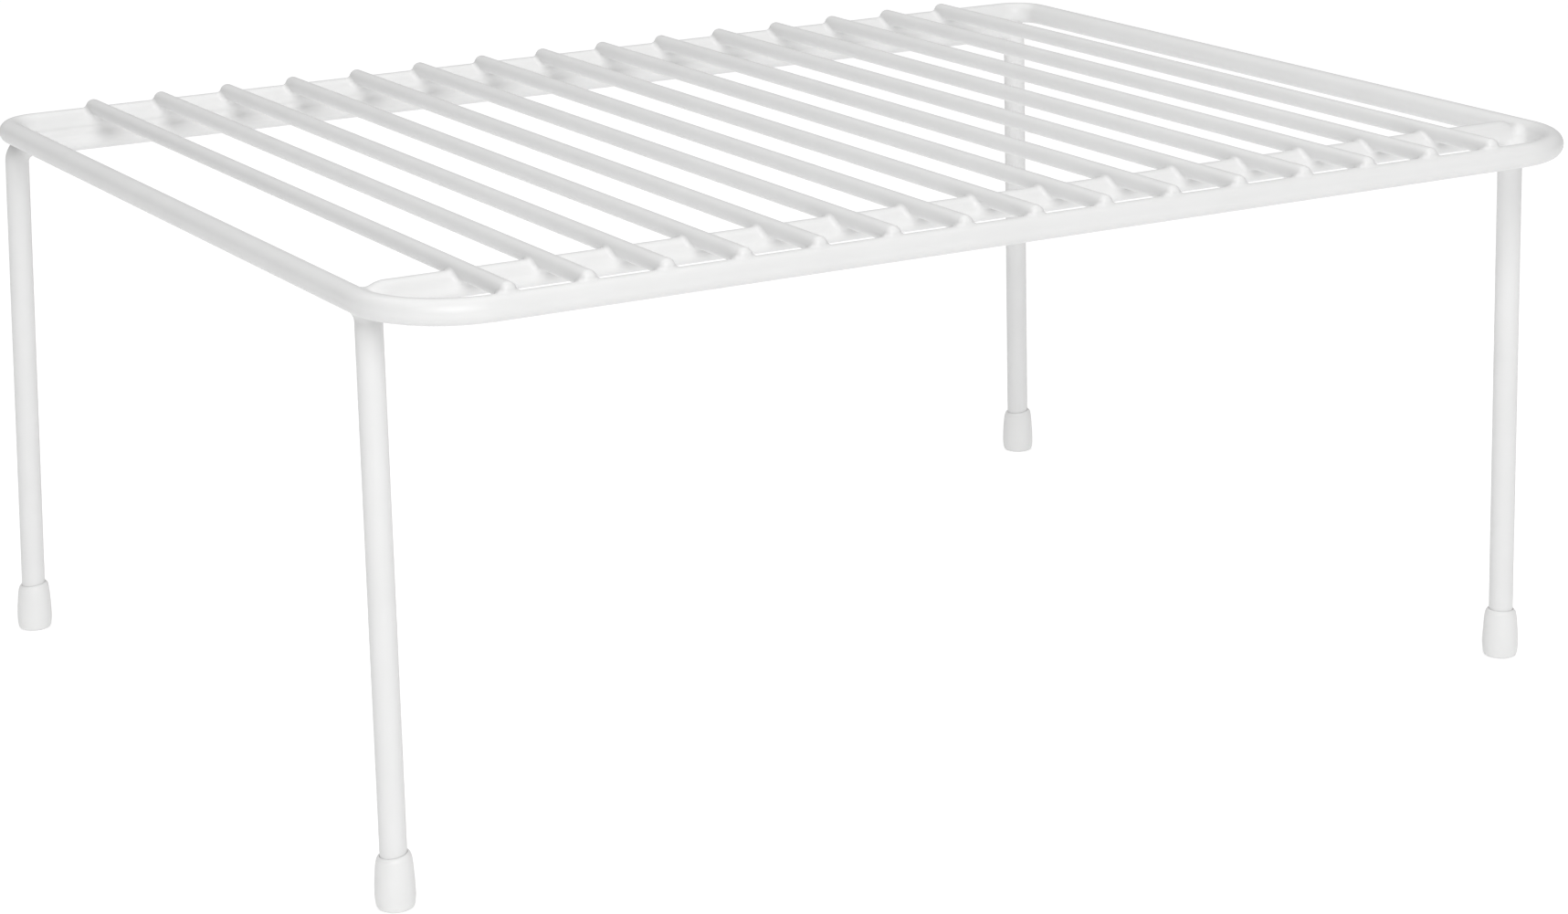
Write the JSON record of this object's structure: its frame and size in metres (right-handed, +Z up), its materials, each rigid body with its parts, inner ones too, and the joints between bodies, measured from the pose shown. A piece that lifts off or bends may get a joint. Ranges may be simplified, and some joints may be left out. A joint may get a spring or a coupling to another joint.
{
  "type": "wire shelf riser",
  "caption": "Free-standing rectangular wire shelf that lifts a second storage level off a cupboard shelf or counter, on splayed wire legs with foot caps.",
  "frame": {"origin": "on the floor, under the centre of the shelf (bottom centre of the bounding box)", "axes": "+X along the long side of the shelf to the right, +Y from the front, where the legs are set in, to the rear, +Z up"},
  "size_m": [0.3848, 0.3068, 0.168],
  "materials": {
    "wire_coating": "smooth white dipped coating over steel wire, soft gloss",
    "foot_cap": "smooth white moulded soft plastic, satin"
  },
  "bodies": {
    "root": {"shelf_rim": "wire_coating", "front_leg_wire": "wire_coating", "rear_leg_wire": "wire_coating", "deck_wire_01": "wire_coating", "deck_wire_02": "wire_coating", "deck_wire_03": "wire_coating", "deck_wire_04": "wire_coating", "deck_wire_05": "wire_coating", "deck_wire_06": "wire_coating", "deck_wire_07": "wire_coating", "deck_wire_08": "wire_coating", "deck_wire_09": "wire_coating", "deck_wire_10": "wire_coating", "deck_wire_11": "wire_coating", "deck_wire_12": "wire_coating", "deck_wire_13": "wire_coating", "deck_wire_14": "wire_coating", "deck_wire_15": "wire_coating", "foot_cap_front_left": "foot_cap", "foot_cap_front_right": "foot_cap", "foot_cap_rear_left": "foot_cap", "foot_cap_rear_right": "foot_cap"}
  },
  "joints": []
}
